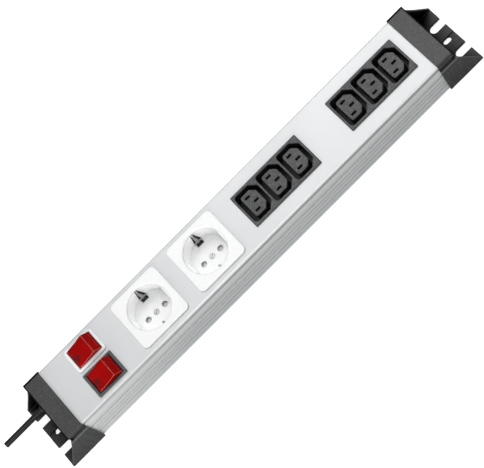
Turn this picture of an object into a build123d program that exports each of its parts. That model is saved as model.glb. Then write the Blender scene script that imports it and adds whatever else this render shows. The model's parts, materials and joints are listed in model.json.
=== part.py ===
from build123d import *
import math
import os

# Rack power strip, all lengths in mm: a housing with two end caps, two rocker switches,
# two two-pin-and-earth sockets and two appliance outlet blocks, with bus bars and wiring.
# Frame: +X runs along the strip from the cable end to the far end, +Y runs across it,
# +Z points out of the socket face. The origin is the centre of the rear mounting plane.

# ---------------------------------------------------------------- driving sizes
OVERALL = 482.6          # flange tip to flange tip, 19 inch rack format
RACK_PITCH = 31.75       # between the two rack slots of one flange
SLOT_W = 8.2             # rack slot width
SLOT_IN = 13.8           # rack slot depth from the flange tip
FACE_Z = 46.5            # socket face above the rear plane
HALF_TOP = 30.3          # housing half width at the socket face
HALF_BASE = 31.2         # housing half width at the rear plane
WALL_TOP = 1.9           # thickness of the socket face wall
CAVITY_HALF = 27.2       # half width of the housing cavity
HOOD_X = 204.4           # where a cap's hood starts
PROF_X = 216.4           # end of the extrusion inside the hood
WALL_X = 221.5           # outer face of a cap's end wall
TIP_X = OVERALL / 2
CAP_UP = 1.4             # hood thickness over the socket face
FOOT_T = 3.0             # flange thickness
FOOT_HALF = 33.5         # flange half width
GUSSET_T = 1.7           # side gusset thickness
HOLE_X = 231.7           # oblong hole between the rack slots
HOLE_L, HOLE_W = 8.0, 4.9
FLOOR_Z0, FLOOR_Z1 = 0.95, 2.95   # slide-in floor plate
# screw channels along the housing: (y, z)
PORTS = [(side * 24.9, z) for side in (1, -1) for z in (41.9, 7.8)]

SW_X, SW_Y = -162.6, 14.05    # switch centres, at +Y and -Y
SW_L, SW_W = 31.5, 24.8       # switch frame
SW_CUT_L, SW_CUT_W = 30.0, 22.0
SW_CUT_Z = 37.5               # lower end of the switch cut-outs

SCHUKO_X = (-98.8, -33.5)     # two-pin-and-earth socket centres
IEC_X = (47.8, 157.9)         # outlet block centres

CABLE_Y, CABLE_Z, CABLE_R = 14.4, 24.0, 2.6
CABLE_END = -269.5
SHEATH_END = -205.0           # where the sheath stops inside
EARTH_X, EARTH_Y = -196.0, 0.0  # earth bonding screw
RING_T = 1.0                  # ring tag under the bonding screw

BUS_Y = 7.0                   # live at +Y, neutral at -Y, earth at 0
BUS_Z0, BUS_Z1 = 8.8, 10.4
BUS_X0, BUS_X1 = -146.0, 196.0

SIDES = (1, -1)
ALONG_X, ALONG_Y, UP, DOWN = (1, 0, 0), (0, 1, 0), (0, 0, 1), (0, 0, -1)

os.makedirs("parts", exist_ok=True)


# ---------------------------------------------------------------- helpers
def save(name, shape):
    export_step(shape, os.path.join("parts", name + ".step"))


def block(x0, x1, y0, y1, z0, z1):
    """A box between opposite corners, each pair of bounds in either order."""
    centre = Pos((x0 + x1) / 2, (y0 + y1) / 2, (z0 + z1) / 2)
    return centre * Box(abs(x1 - x0), abs(y1 - y0), abs(z1 - z0))


def rod(start, direction, radius, length):
    solid = Cylinder(radius, length, align=(Align.CENTER, Align.CENTER, Align.MIN))
    return Plane(origin=start, z_dir=direction) * solid


def taper(start, direction, radius0, radius1, length):
    solid = Cone(radius0, radius1, length, align=(Align.CENTER, Align.CENTER, Align.MIN))
    return Plane(origin=start, z_dir=direction) * solid


def prism(points, travel):
    """A closed outline of 3-D points, swept along the vector travel."""
    vector = Vector(*travel)
    face = make_face(Polyline(*[Vector(*p) for p in points], close=True))
    return extrude(face, amount=vector.length, dir=vector.normalized())


def prism_x(points, x0, x1):
    """A (y, z) outline swept along X."""
    return prism([(x0, y, z) for y, z in points], (x1 - x0, 0, 0))


def prism_y(points, y0, y1):
    """An (x, z) outline swept along Y."""
    return prism([(x, y0, z) for x, z in points], (0, y1 - y0, 0))


def prism_z(points, z0, z1):
    """An (x, y) outline swept along Z."""
    return prism([(x, y, z0) for x, y in points], (0, 0, z1 - z0))


def round_block(x, y, length, width, radius, z0, z1):
    return Pos(x, y, z0) * extrude(RectangleRounded(length, width, radius), amount=z1 - z0)


def stadium(x, y, length, width, z0, z1):
    """A stadium-shaped block, long along X."""
    reach = (length - width) / 2
    solid = block(x - reach, x + reach, y - width / 2, y + width / 2, z0, z1)
    solid += rod((x - reach, y, z0), UP, width / 2, z1 - z0)
    solid += rod((x + reach, y, z0), UP, width / 2, z1 - z0)
    return solid


def tube(points, radius):
    """A round wire through the points, with ball joints at the bends."""
    wire = None
    for i in range(len(points) - 1):
        start, end = Vector(*points[i]), Vector(*points[i + 1])
        leg = rod(tuple(start), tuple((end - start).normalized()), radius, (end - start).length)
        wire = leg if wire is None else wire + leg
        if i:
            wire += Pos(*points[i]) * Sphere(radius)
    return wire


def coil(start, direction, radius, wire_radius, length, turns):
    """A round-wire spring beginning at start."""
    helix = Helix(pitch=length / turns, height=length, radius=radius)
    section = Plane(origin=helix @ 0, z_dir=helix % 0) * Circle(wire_radius)
    return Plane(origin=start, z_dir=direction) * sweep(section, path=helix)


def arc_points(radius, start, end, steps, centre=(0, 0)):
    """Points along an arc, angles in degrees."""
    angles = [math.radians(start + (end - start) * i / steps) for i in range(steps + 1)]
    return [(centre[0] + radius * math.cos(a), centre[1] + radius * math.sin(a)) for a in angles]


def both_sides(points):
    """A +Y half outline closed by its mirror image at -Y."""
    return points + [(-y, z) for y, z in reversed(points)]


def half_at(z):
    """Half width of the tapering housing at height z."""
    return HALF_BASE - (HALF_BASE - HALF_TOP) * z / FACE_Z


# ---------------------------------------------------------------- housing profile
# lengthwise side grooves: lower lip, upper lip, depth, floor inset
GROOVES = [
    (8.3, 10.9, 1.3, 0.35),
    (15.2, 16.6, 0.6, 0.3),
    (20.1, 21.5, 0.6, 0.3),
    (26.3, 28.6, 1.2, 0.4),
]


def housing_side():
    """Outline of the +Y side from the rear plane up to the flat top, as (y, z)."""
    points = [(half_at(0) - 0.6, 0.0), (half_at(0.6), 0.6)]
    for z0, z1, depth, inset in GROOVES:
        points += [
            (half_at(z0), z0),
            (half_at(z0) - depth, z0 + inset),
            (half_at(z1) - depth, z1 - inset),
            (half_at(z1), z1),
        ]
    # slightly bulged band, then the wide upper groove
    points += [
        (half_at(32) + 0.12, 32.0),
        (half_at(35.5) + 0.1, 35.5),
        (half_at(38.0) - 0.05, 38.0),
        (half_at(38.6) - 0.5, 38.8),
        (half_at(39.6) - 1.7, 39.8),
        (half_at(42.0) - 1.7, 42.2),
        (half_at(43.2), 43.5),
    ]
    edge_r = 1.5
    return points + arc_points(edge_r, 0, 90, 6, (HALF_TOP - edge_r, FACE_Z - edge_r))


def housing_profile():
    past = PROF_X + 1
    body = prism_x(both_sides(housing_side()), -PROF_X, PROF_X)
    body -= block(-past, past, -CAVITY_HALF, CAVITY_HALF, -1, FACE_Z - WALL_TOP)
    # track for the floor plate
    body -= block(-past, past, -28.7, 28.7, FLOOR_Z0, FLOOR_Z1 + 0.1)
    for y, z in PORTS:
        boss = rod((-PROF_X, y, z), ALONG_X, 2.9, 2 * PROF_X)
        wall_y = math.copysign(CAVITY_HALF + 0.5, y)
        boss += block(-PROF_X, PROF_X, y, wall_y, z - 1.4, z + 1.4)
        body += boss
    for y, z in PORTS:
        body -= rod((-past, y, z), ALONG_X, 1.65, 2 * past)
    for mid_y in (SW_Y, -SW_Y):
        body -= block(SW_X - SW_CUT_L / 2, SW_X + SW_CUT_L / 2,
                      mid_y - SW_CUT_W / 2, mid_y + SW_CUT_W / 2, SW_CUT_Z, FACE_Z + 1)
        # the screw channel is milled back where a switch body passes it
        body -= block(SW_X - 16.5, SW_X + 16.5, mid_y, math.copysign(25.6, mid_y),
                      SW_CUT_Z, FACE_Z - WALL_TOP)
    for places, half_x, half_y in ((SCHUKO_X, 22.0, 22.0), (IEC_X, 36.4, 16.7)):
        for x in places:
            body -= block(x - half_x, x + half_x, -half_y, half_y, FACE_Z - 4, FACE_Z + 1)
    return body


save("housing_profile", housing_profile())


# ---------------------------------------------------------------- slide-in floor plate
def base_plate():
    plate = block(-PROF_X, PROF_X, -28.62, 28.62, FLOOR_Z0, FLOOR_Z1)
    return plate - rod((EARTH_X, EARTH_Y, 0), UP, 1.75, 5)


def earth_screw():
    """Bonding screw driven from inside, clamping the earth core's ring."""
    shank_z = 1.2
    seat_z = FLOOR_Z1 + RING_T
    shank = rod((EARTH_X, EARTH_Y, shank_z), UP, 1.7, seat_z - shank_z)
    head = rod((EARTH_X, EARTH_Y, seat_z), UP, 3.4, 2.2)
    head = fillet(head.edges().group_by(Axis.Z)[-1], 0.8)
    for half_x, half_y in ((2.2, 0.45), (0.45, 2.2)):
        head -= block(EARTH_X - half_x, EARTH_X + half_x, -half_y, half_y, 5.2, 7)
    return shank + head


save("base_plate", base_plate())
save("earth_screw", earth_screw())

# ---------------------------------------------------------------- end caps
HEAD_DEEP = 1.3          # screw head recess in the end wall
# (y, z) points shared by the hood's side and the gusset's outer face
LEAN_SIDE = [(33.35, 8.0), (32.5, 24.0), (32.25, 36.2)]
# gusset seen from the side: (x, z)
GUSSET = [
    (WALL_X - 1.5, 0.8), (WALL_X - 1.5, 40.3), (WALL_X, 38.6), (225.6, 30.0), (230.6, 21.0),
    (235.5, 12.8), (239.6, 5.8), (TIP_X, 3.5), (TIP_X, 0.8),
]


def cap_hood():
    edge_r, top_half = 2.3, 31.62
    outside = [(FOOT_HALF - 0.9, 0.0), (FOOT_HALF - 0.25, 0.3), (FOOT_HALF, 1.0)] + LEAN_SIDE
    outside += [(31.95, 37.0), (31.35, 37.6), (30.65, 38.6), (30.55, 42.4), (31.2, 43.6),
                (top_half, 44.2)]
    outside += arc_points(edge_r, 0, 90, 6, (top_half - edge_r, FACE_Z + CAP_UP - edge_r))
    hood = prism_x(both_sides(outside), HOOD_X, WALL_X)
    # pocket over the extrusion
    gap = 0.1
    pocket = [
        (half_at(0) + gap, -1.0),
        (half_at(0) + gap, 1.0),
        (half_at(30) + gap + 0.14, 31.0),
        (half_at(36) + gap + 0.1, 36.0),
        (half_at(37.9) + gap, 38.1),
        (half_at(38.6) - 0.5 + gap, 38.9),
        (half_at(39.6) - 1.7 + 0.25, 39.95),
        (half_at(42.0) - 1.7 + 0.25, 41.9),
        (half_at(43.2) + gap, 43.3),
        (HALF_TOP + gap + 0.03, 44.9),
        (HALF_TOP + gap - 0.35, 46.1),
        (HALF_TOP - 1.3, FACE_Z + 0.1),
    ]
    hood -= prism_x(both_sides(pocket), HOOD_X - 1, PROF_X)
    # hollow behind the end wall, leaving posts round the screws
    for half_y, z0, z1 in ((20.5, FOOT_T, FACE_Z - 2.5), (26.5, 13.0, 36.0)):
        hood -= block(PROF_X - 1, 219.0, -half_y, half_y, z0, z1)
    return hood


def gusset(side):
    """Side gusset, leaning in towards its top to meet the hood's side."""
    outer = [(FOOT_HALF, 0.7), (FOOT_HALF, 1.0)] + LEAN_SIDE + [(31.8, 42.0)]
    inner = [(y - GUSSET_T, z) for y, z in reversed(outer[2:])]
    root = FOOT_HALF - GUSSET_T
    flare = [(root, FOOT_T + 0.9), (root - 0.35, FOOT_T + 0.35), (root - 0.95, FOOT_T),
             (root - 0.95, 0.7)]
    leaning = [(side * y, z) for y, z in outer + inner + flare]
    y0, y1 = sorted((side * 29.0, side * FOOT_HALF))
    return prism_y(GUSSET, y0, y1) & prism_x(leaning, WALL_X - 3, TIP_X + 1)


def far_cap():
    foot = block(PROF_X, TIP_X, -FOOT_HALF, FOOT_HALF, 0, FOOT_T)
    foot = chamfer(foot.edges().filter_by(Axis.X).group_by(Axis.Z)[0], 0.6)
    cap = cap_hood() + foot
    for side in SIDES:
        cap += gusset(side)
    # sloping fillet between the end wall and the foot
    cap += prism_y([(WALL_X - 0.5, FOOT_T - 0.5), (WALL_X - 0.5, FOOT_T + 1.6),
                    (WALL_X, FOOT_T + 1.6), (WALL_X + 1.6, FOOT_T),
                    (WALL_X + 1.6, FOOT_T - 0.5)], -31.2, 31.2)
    # rack slots, open at the tip
    slot_x = TIP_X - SLOT_IN + SLOT_W / 2
    for side in SIDES:
        y = side * RACK_PITCH / 2
        cap -= rod((slot_x, y, -1), UP, SLOT_W / 2, 8)
        cap -= block(slot_x, TIP_X + 1, y - SLOT_W / 2, y + SLOT_W / 2, -1, 7)
    cap -= stadium(HOLE_X, 0, HOLE_L, HOLE_W, -1, 7)
    # shallow stepped facet from the oblong hole to the tip
    cap -= prism_x([(2.5, FOOT_T + 1), (2.5, FOOT_T - 0.7), (-5.0, FOOT_T + 0.01),
                    (-5.0, FOOT_T + 1)], HOLE_X, TIP_X + 1)
    # screw holes and head recesses in the end wall
    for y, z in PORTS:
        cap -= rod((PROF_X - 2, y, z), ALONG_X, 1.95, 8)
        cap -= rod((WALL_X - HEAD_DEEP, y, z), ALONG_X, 3.3, 3)
    return cap


def cap_screws(end):
    """The four screws of one cap; end is 1 at the far side, -1 at the cable side."""
    screws = []
    seat_x = end * (WALL_X - HEAD_DEEP)
    for y, z in PORTS:
        shank = rod((seat_x, y, z), (-end, 0, 0), 1.6, 16.0)
        head = rod((seat_x, y, z), (end, 0, 0), 3.1, 1.7)
        rims = head.edges().filter_by(GeomType.CIRCLE).sort_by(Axis.X)
        head = fillet(rims[-1 if end > 0 else 0], 0.6)
        for half_y, half_z in ((0.4, 2.0), (2.0, 0.4)):
            head -= block(end * (WALL_X - 0.4), end * (WALL_X + 1),
                          y - half_y, y + half_y, z - half_z, z + half_z)
        screws.append(shank + head)
    return Compound(children=screws)


cap = far_cap()
save("end_cap_far_side", cap)
near_cap = mirror(cap, about=Plane.YZ)
near_cap -= rod((-WALL_X - 1, CABLE_Y, CABLE_Z), ALONG_X, 4.4, 8)
save("end_cap_cable_side", near_cap)
save("end_cap_screws_far_side", cap_screws(1))
save("end_cap_screws_cable_side", cap_screws(-1))

# ---------------------------------------------------------------- cable entry
CLAMP_X = -209.6
CLAMP_TOP = CABLE_Z + 5.2
CLAMP_SCREW_Y = [CABLE_Y + side * 5.4 for side in SIDES]


def cable_rod(x, radius, length):
    """A rod on the cable's axis."""
    return rod((x, CABLE_Y, CABLE_Z), ALONG_X, radius, length)


def cable_sheath():
    length = SHEATH_END - CABLE_END
    return cable_rod(CABLE_END, CABLE_R, length) - cable_rod(CABLE_END - 1, 2.03, length + 2)


def cable_grommet():
    flange_t = 1.6
    grommet = cable_rod(-WALL_X - flange_t, 5.4, flange_t)
    rims = grommet.edges().filter_by(GeomType.CIRCLE).sort_by(Axis.X)
    grommet = fillet(rims[0], 0.7)
    grommet += cable_rod(-WALL_X, 4.36, WALL_X - PROF_X)
    grommet += taper((-WALL_X - 5.6, CABLE_Y, CABLE_Z), ALONG_X, 3.1, 3.7, 4.2)
    grommet -= cable_rod(-WALL_X - 8, CABLE_R + 0.01, 16)
    return grommet


def cable_clamp():
    """Strain-relief saddle on the floor plate, split at the cable's axis."""
    clamp = block(CLAMP_X - 3.2, CLAMP_X + 3.2, CABLE_Y - 7.6, CABLE_Y + 7.6,
                  FLOOR_Z1, CLAMP_TOP)
    clamp -= cable_rod(CLAMP_X - 5, CABLE_R + 0.01, 10)
    clamp -= block(CLAMP_X - 5, CLAMP_X + 5, CABLE_Y - 9, CABLE_Y + 9,
                   CABLE_Z - 0.2, CABLE_Z + 0.2)
    for y in CLAMP_SCREW_Y:
        clamp -= rod((CLAMP_X, y, 12), UP, 1.3, 30)
    return clamp


def cable_clamp_screws():
    screws = []
    low_z = 13
    for y in CLAMP_SCREW_Y:
        shank = rod((CLAMP_X, y, low_z), UP, 1.25, CLAMP_TOP - low_z)
        head = rod((CLAMP_X, y, CLAMP_TOP), UP, 2.2, 1.6)
        head -= block(CLAMP_X - 2, CLAMP_X + 2, y - 0.3, y + 0.3, CLAMP_TOP + 1, CLAMP_TOP + 2.8)
        screws.append(shank + head)
    return Compound(children=screws)


save("cable_sheath", cable_sheath())
save("cable_grommet", cable_grommet())
save("cable_clamp", cable_clamp())
save("cable_clamp_screws", cable_clamp_screws())

# ---------------------------------------------------------------- rocker switches
BEZEL_T = 1.7            # frame rim above the socket face
PIVOT_Z = FACE_Z + BEZEL_T - 3.0
ROCK_W = 19.0
ROCK_R = 12.6            # rocker end radius about its pivot
THROW = 26.0             # rocker travel in degrees
POLES = (4.5, -4.5)      # pole offsets in Y from the switch centre
FEED_X = 6.8             # outer terminal from the centre one
TAB_Z = FACE_Z - 27.5    # lower end of a switch blade
EYE_Z = FACE_Z - 24.6    # eye in a switch blade

LEAN = math.radians(THROW / 2)
GUIDE_DIR = (math.sin(LEAN), 0, -math.cos(LEAN))  # axis of the spring guides
SPRING_START = -2.75     # along that axis from the pivot
PLUNGER_R = 1.3
PLUNGER_START, PLUNGER_END = 3.05, 11.6

LEVER_T = 0.8            # contact lever strip
LEVER_HALF = 7.5
LEVER_SLOPE = math.radians(12.0)   # of each wing of the V
LEVER_TILT = math.radians(6.0)     # at rest
LEVER_RISE = LEVER_T / math.cos(LEVER_SLOPE)   # strip thickness measured upright
LEVER_Z = PIVOT_Z - 11.76 - LEVER_RISE  # the lever rocks on a bead under its valley

# rocker outlines: (x, z) from the pivot
CREST, ROCK_END = (6.65, 8.4), (12.03, 3.7)   # upper and lower end of the steep face
ROCK_TOP = [
    (-11.2, 4.0), (-8.0, 4.62), (-5.0, 5.35), (-2.0, 6.15), (1.0, 7.02), (4.0, 7.98),
    (5.7, 8.62), (6.25, 8.72), CREST, (9.3, 5.95), ROCK_END,
]
ROCK_HOLLOW = [
    (-13, -9), (-13, 1.3), (-10.6, 2.3), (-5.0, 3.6), (1.0, 5.3), (5.4, 6.7), (10.4, 2.6),
    (13, 2.0), (13, -9),
]
LAMP_RIB = [(-5.6, 4.2), (-4.4, 4.5), (-4.4, -3.2), (-5.6, -3.2)]
LAMP_Z = PIVOT_Z - 0.6
LAMP_X = SW_X - 8.6


def pivot_prism(points, mid_y, half_width):
    """An (x, z) outline about the pivot, swept evenly either side of mid_y."""
    placed = [(SW_X + x, PIVOT_Z + z) for x, z in points]
    return prism_y(placed, mid_y - half_width, mid_y + half_width)


def guide_point(y, distance):
    """A point on the spring guide's axis, at a distance from the pivot."""
    return (SW_X + distance * GUIDE_DIR[0], y, PIVOT_Z + distance * GUIDE_DIR[2])


def switch_housing(mid_y, corner):
    rim_z = FACE_Z + BEZEL_T
    frame = round_block(SW_X, mid_y, SW_L, SW_W, corner, FACE_Z, rim_z)
    frame = chamfer(frame.edges().group_by(Axis.Z)[-1], 0.45 if corner < 1.5 else 0.7)
    box = block(SW_X - 14.7, SW_X + 14.7, mid_y - 10.7, mid_y + 10.7, FACE_Z - 21.0, FACE_Z)
    # catches under the face wall
    for side in SIDES:
        box += block(SW_X + side * 14.5, SW_X + side * 15.4, mid_y - 4, mid_y + 4,
                     FACE_Z - 4.2, FACE_Z - WALL_TOP - 0.04)
    housing = frame + box
    housing -= block(SW_X - 12.95, SW_X + 12.95, mid_y - 9.75, mid_y + 9.75,
                     FACE_Z - 19.4, rim_z + 1)
    for side in SIDES:
        housing -= rod((SW_X, mid_y + side * 9.5, PIVOT_Z), (0, side, 0), 1.55, 0.95)
    # terminal slots through the floor
    for pole in POLES:
        for x in (SW_X, SW_X + FEED_X):
            y = mid_y + pole
            housing -= block(x - 0.42, x + 0.42, y - 2.42, y + 2.42, FACE_Z - 22, FACE_Z - 19)
    return housing


def switch_rocker(mid_y):
    """Rocker, pressed at -X."""
    end_angle = math.degrees(math.atan2(ROCK_END[1], ROCK_END[0]))
    outline = ROCK_TOP + arc_points(ROCK_R - 0.02, end_angle - 2, -14, 6)
    outline += arc_points(ROCK_R - 0.02, 212, 167, 8)
    rocker = pivot_prism(outline, mid_y, ROCK_W / 2)
    hollow = pivot_prism(ROCK_HOLLOW, mid_y, 7.9)
    rocker -= hollow & rod((SW_X, mid_y - 8, PIVOT_Z), ALONG_Y, 11.0, 16)
    # rib that carries the lamp
    rocker += pivot_prism(LAMP_RIB, mid_y, 8.2)
    rocker -= rod((SW_X - 9.6, mid_y, LAMP_Z), ALONG_X, 2.05, 9.0)
    # spring guides and their bores
    for pole in POLES:
        rocker += rod(guide_point(mid_y + pole, -5.2), GUIDE_DIR, 2.2, 13.4)
    for pole in POLES:
        rocker -= rod(guide_point(mid_y + pole, -3.0), GUIDE_DIR, 1.36, 14)
    # pivot pins
    for side in SIDES:
        rocker += rod((SW_X, mid_y + side * (ROCK_W / 2 - 0.6), PIVOT_Z), (0, side, 0), 1.5, 1.45)
    # fine grooves down the steep end face
    run, drop = ROCK_END[0] - CREST[0], ROCK_END[1] - CREST[1]
    length = math.hypot(run, drop)
    dir_x, dir_z = run / length, drop / length
    start_x, start_z = SW_X + CREST[0] + dir_x, PIVOT_Z + CREST[1] + dir_z
    # groove corners: offset along the face normal, offset in Y
    corners = [(-0.15, -0.3), (-0.15, 0.3), (0.5, 0.3), (0.5, -0.3)]
    for i in range(-4, 5):
        y = mid_y + i * 2.0
        section = [(start_x - out * dir_z, y + dy, start_z + out * dir_x) for out, dy in corners]
        rocker -= prism(section, (dir_x * (length - 2.0), 0, dir_z * (length - 2.0)))
    return rocker


def switch_plunger(y):
    tip = PLUNGER_END - PLUNGER_R
    plunger = rod(guide_point(y, PLUNGER_START), GUIDE_DIR, PLUNGER_R, tip - PLUNGER_START)
    return plunger + Pos(*guide_point(y, tip)) * Sphere(PLUNGER_R)


def switch_spring(y):
    return coil(guide_point(y, SPRING_START), GUIDE_DIR,
                radius=0.95, wire_radius=0.2, length=5.5, turns=5)


def switch_lamp(mid_y):
    lamp = rod((LAMP_X, mid_y, LAMP_Z), ALONG_X, 2.0, 6.4)
    trim = block(SW_X - 9.55, SW_X, mid_y - 3, mid_y + 3, PIVOT_Z - 4, PIVOT_Z + 3)
    lamp += Pos(LAMP_X, mid_y, LAMP_Z) * Sphere(2.0) & trim
    lamp += rod((SW_X - 2.2, mid_y, LAMP_Z), ALONG_X, 0.9, 1.4)
    return lamp


def switch_lever(y):
    """Contact lever: a shallow V strip, tilted by its plunger."""
    wing = LEVER_HALF * math.tan(LEVER_SLOPE)
    strip = [(-LEVER_HALF, wing + LEVER_RISE), (0, LEVER_RISE), (LEVER_HALF, wing + LEVER_RISE),
             (LEVER_HALF, wing), (0, 0), (-LEVER_HALF, wing)]
    cos_t, sin_t = math.cos(LEVER_TILT), math.sin(LEVER_TILT)
    tilted = [(SW_X + x * cos_t + z * sin_t, LEVER_Z - x * sin_t + z * cos_t) for x, z in strip]
    lever = prism_y(tilted, y - 1.6, y + 1.6)
    return lever + rod((SW_X, y - 1.6, LEVER_Z), ALONG_Y, 0.75, 3.2)


def switch_terminals(mid_y):
    blades = []
    for pole in POLES:
        y = mid_y + pole
        for offset, top_z in ((0.0, LEVER_Z - 0.55), (FEED_X, PIVOT_Z - 11.95)):
            x = SW_X + offset
            blade = block(x - 0.4, x + 0.4, y - 2.4, y + 2.4, TAB_Z, top_z)
            if offset == 0.0:
                # seat for the lever's bead
                blade -= rod((SW_X, y - 3, LEVER_Z), ALONG_Y, 0.8, 6)
            blade -= rod((x - 1, y, EYE_Z), ALONG_X, 0.9, 2)
            blades.append(blade)
    return Compound(children=blades)


def per_pole(build, mid_y):
    return Compound(children=[build(mid_y + pole) for pole in POLES])


# number, centre in Y, frame corner radius
for number, mid_y, corner in ((1, SW_Y, 3.2), (2, -SW_Y, 0.9)):
    save(f"switch_{number}_housing", switch_housing(mid_y, corner))
    save(f"switch_{number}_rocker", switch_rocker(mid_y))
    save(f"switch_{number}_plungers", per_pole(switch_plunger, mid_y))
    save(f"switch_{number}_springs", per_pole(switch_spring, mid_y))
    save(f"switch_{number}_lamp", switch_lamp(mid_y))
    save(f"switch_{number}_levers", per_pole(switch_lever, mid_y))
    save(f"switch_{number}_terminals", switch_terminals(mid_y))

# ---------------------------------------------------------------- two-pin-and-earth sockets
PLATE = 51.0                       # square face plate
BODY, BODY_R = 43.6, 2.5           # square body behind it
SOCKET_TOP = FACE_Z + 1.8
RECESS_R = 19.6
RECESS_Z = SOCKET_TOP - 17.5       # recess floor
UNDER_Z = FACE_Z - 18.0            # underside of the face moulding
REAR_Z = FACE_Z - 31.0             # rear of the insulator
CUP_Z = FACE_Z - 29.7              # underside of the pin contacts
PIN_X = 19.0 / 2                   # half the pin pitch
SEAT_Z = RECESS_Z - 1.3            # under the centre screw's head
STRIP_T = 0.8                      # earth strip
STRIP_Z1 = UNDER_Z - 0.1
STRIP_Z0 = STRIP_Z1 - STRIP_T
STRIP_END = 17.3
TAIL_Z = 13.4                      # bend in the earth tail
# outer face of the earth blade: (y, z)
EARTH_BLADE = [
    (STRIP_END, STRIP_Z0), (STRIP_END, RECESS_Z - 1), (18.3, RECESS_Z + 4.0),
    (18.4, RECESS_Z + 8.0), (16.6, SOCKET_TOP - 4.6), (16.9, SOCKET_TOP - 3.4),
    (19.2, SOCKET_TOP - 1.7),
]


def schuko_face(x):
    face = round_block(x, 0, PLATE, PLATE, 4.6, FACE_Z, SOCKET_TOP)
    face = fillet(face.edges().group_by(Axis.Z)[-1], 0.8)
    face += round_block(x, 0, BODY, BODY, BODY_R, UNDER_Z, FACE_Z)
    bowl = rod((x, 0, RECESS_Z), UP, RECESS_R, 30)
    # flats that guide the plug, at +X and -X
    for side in SIDES:
        bowl -= block(x + side * 17.6, x + side * 21, -6.3, 6.3,
                      RECESS_Z - 0.01, SOCKET_TOP - 3.6)
    face -= bowl
    face -= taper((x, 0, SOCKET_TOP - 0.8), UP, RECESS_R - 0.02, RECESS_R + 0.85, 0.85)
    for side in SIDES:
        pin_x = x + side * PIN_X
        face -= rod((pin_x, 0, UNDER_Z - 1), UP, 2.6, 8)
        face -= taper((pin_x, 0, RECESS_Z - 0.5), UP, 2.58, 3.15, 0.52)
        # earth contact openings in the wall and floor
        opening = [(x - 3.9, RECESS_Z - 0.5), (x + 3.9, RECESS_Z - 0.5),
                   (x + 1.3, SOCKET_TOP - 1.6), (x - 1.3, SOCKET_TOP - 1.6)]
        face -= prism_y(opening, side * 14.4, side * 21.1)
        face -= block(x - 3.2, x + 3.2, side * 14.4, side * 18.2, UNDER_Z - 1, RECESS_Z + 1)
    face -= rod((x, 0, UNDER_Z - 1), UP, 1.6, 8)
    face -= rod((x, 0, SEAT_Z), UP, 2.5, 3)
    return face


def schuko_centre_screw(x):
    shank = rod((x, 0, SEAT_Z), DOWN, 1.5, 8.0)
    head = rod((x, 0, SEAT_Z), UP, 2.4, 1.3)
    head = fillet(head.edges().filter_by(GeomType.CIRCLE).sort_by(Axis.Z)[-1], 0.5)
    head -= Pos(x, 0, RECESS_Z + 0.2) * Rot(0, 0, 35) * Box(5.2, 0.8, 1.5)
    return shank + head


def schuko_earth_clip(x):
    """One bent strip whose two ends stand in the wall openings."""
    half = 1.6
    clip = block(x - half, x + half, -STRIP_END, STRIP_END, STRIP_Z0, STRIP_Z1)
    clip += block(x - 3.2, x + 3.2, -4.0, 4.0, STRIP_Z0, STRIP_Z1)
    clip -= rod((x, 0, STRIP_Z0 - 1), UP, 1.6, 3)
    inner = [(y - STRIP_T, z) for y, z in EARTH_BLADE]
    for side in SIDES:
        outline = [(side * y, z) for y, z in inner + EARTH_BLADE[::-1]]
        blade = prism_x(outline, x - half, x + half)
        # taper towards the top
        for edge in SIDES:
            waste = [(x + edge * half, RECESS_Z + 5), (x + edge * 0.6, SOCKET_TOP),
                     (x + edge * 6, SOCKET_TOP), (x + edge * 6, RECESS_Z + 5)]
            blade -= prism_y(waste, side * 10, side * 24)
        clip += blade
    # tail down to the earth bar: y0, y1, z0, z1
    for bounds in ((12.4, 13.2, TAIL_Z, STRIP_Z0 + 0.4),
                   (-0.4, 13.2, TAIL_Z, TAIL_Z + STRIP_T),
                   (-0.4, 0.4, BUS_Z1, TAIL_Z + STRIP_T)):
        clip += block(x - 2.0, x + 2.0, *bounds)
    return clip


def schuko_base(x):
    """Rear insulator."""
    base = round_block(x, 0, BODY, BODY, BODY_R, REAR_Z, UNDER_Z)
    base -= block(x - 19.8, x + 19.8, -19.8, 19.8, FACE_Z - 20.7, UNDER_Z + 1)
    for side in SIDES:
        pin_x = x + side * PIN_X
        base -= rod((pin_x, 0, CUP_Z), UP, 4.4, 12)
        base -= block(pin_x - 1.7, pin_x + 1.7, -0.6, 0.6, REAR_Z - 1, FACE_Z - 29)
    base -= block(x - 2.3, x + 2.3, 12.1, 13.5, REAR_Z - 1, FACE_Z - 20)
    base -= rod((x, 0, FACE_Z - 26), UP, 1.55, 10)
    # rails the shutter runs between
    for side in SIDES:
        base += block(x + side * 14.1, x + side * 15.6, -18, 18, FACE_Z - 21.0, UNDER_Z - 0.02)
    return base


def schuko_shutter(x):
    """Child-safety shutter."""
    z = FACE_Z - 20.68
    shutter = block(x - 14.0, x + 14.0, -11.5, 5.0, z, z + 1.5)
    for side in SIDES:
        shutter -= rod((x + side * PIN_X, -6.0, z - 1), UP, 2.8, 4)
    shutter -= block(x - 2.1, x + 2.1, -8.4, 2.2, z - 1, z + 3)
    return shutter


def schuko_contact(x, bus_y):
    """Pin contact centred on x, with a bent leg down to the bar at bus_y."""
    contact = block(x - 2.9, x + 2.9, -2.6, 2.6, CUP_Z, CUP_Z + 0.6)
    for side in SIDES:
        contact += block(x + side * 2.35, x + side * 2.9, -2.6, 2.6, CUP_Z, FACE_Z - 21.4)
    half_t = math.copysign(0.4, bus_y)
    # leg: y0, y1, z0, z1
    for bounds in ((-0.4, 0.4, 11.4, FACE_Z - 29.4),
                   (-half_t, bus_y + half_t, 11.4, 12.2),
                   (bus_y - 0.4, bus_y + 0.4, BUS_Z1, 12.2)):
        contact += block(x - 1.5, x + 1.5, *bounds)
    return contact


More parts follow.
